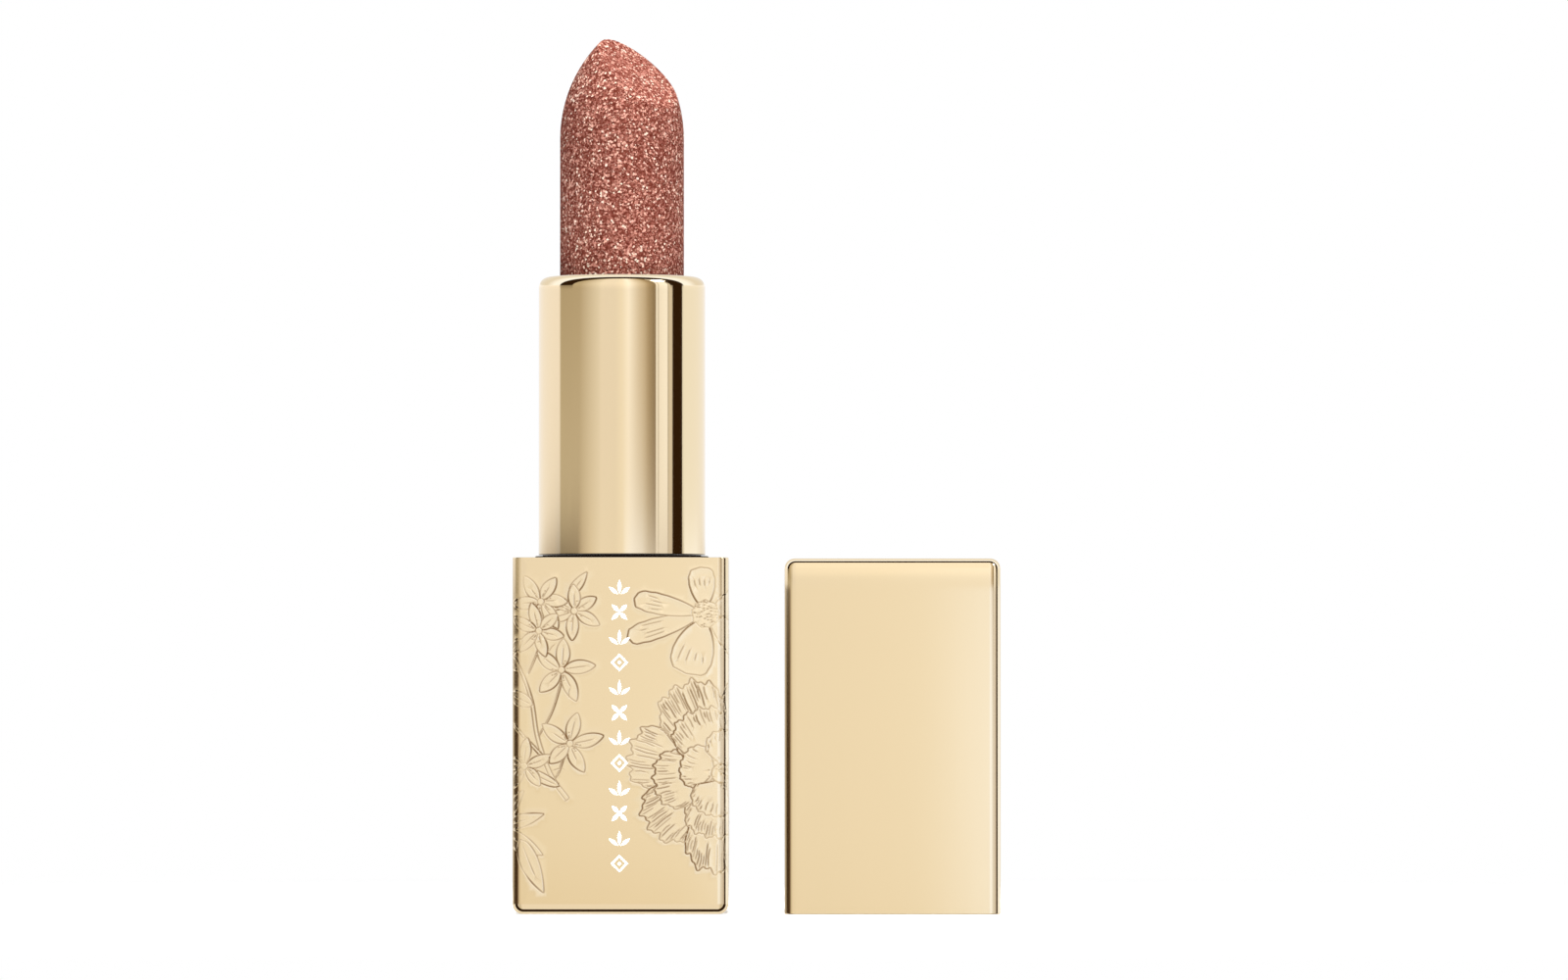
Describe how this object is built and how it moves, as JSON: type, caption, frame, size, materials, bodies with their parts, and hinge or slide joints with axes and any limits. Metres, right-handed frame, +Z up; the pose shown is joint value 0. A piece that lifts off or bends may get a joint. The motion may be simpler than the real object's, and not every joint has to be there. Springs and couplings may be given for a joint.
{
  "type": "lipstick case",
  "caption": "Square gold twist-up lipstick case with floral engraving, a round inner tube, a raised slant-cut glitter lipstick and a plain square cap standing beside it.",
  "frame": {"origin": "centre of the base's underside, which the case stands on", "axes": "+Z up along the case's axis, -Y towards the decorated front, +X towards the cap standing beside it"},
  "size_m": [0.0471, 0.0208, 0.0854],
  "materials": {
    "shell_gold": "polished pale gold plating",
    "tube_gold": "mirror-polished pale gold plating",
    "deck_gold": "gold-metallised",
    "liner_plastic": "satin ivory moulding",
    "mechanism_plastic": "natural satin moulding",
    "ring_rubber": "dark brown, matt",
    "weight_steel": "turned",
    "cup_aluminium": "satin gold anodised",
    "lipstick": "rose-brown wax full of fine gold glitter",
    "label_paper": "coated"
  },
  "bodies": {
    "base": {"base_shell": "shell_gold", "shade_label": "label_paper", "base_liner": "deck_gold", "base_weight": "weight_steel", "seal_ring": "ring_rubber", "drag_ring": "ring_rubber", "fork": "mechanism_plastic"},
    "tube": {"outer_tube": "tube_gold", "cam_sleeve": "mechanism_plastic"},
    "carrier": {"cup": "cup_aluminium", "bullet": "lipstick"},
    "cap": {"cap_shell": "shell_gold", "cap_liner": "liner_plastic", "cap_weight": "weight_steel"}
  },
  "joints": [
    {"name": "tube_turn", "type": "hinge", "parent": "base", "child": "tube", "pos_m": [0, 0, 0.0345], "axis": [0, 0, 1], "range_deg": [0, 540]},
    {"name": "cup_rise", "type": "slide", "parent": "base", "child": "carrier", "axis": [0, 0, 1], "range_m": [-0.02551, 0]},
    {"name": "cap_lift", "type": "slide", "parent": "base", "child": "cap", "axis": [0, 0, 1], "range_m": [0, 0.09]}
  ],
  "couplings": [
    {"joint": "cup_rise", "follows": "tube_turn", "m_per_rad": -0.0027056}
  ]
}
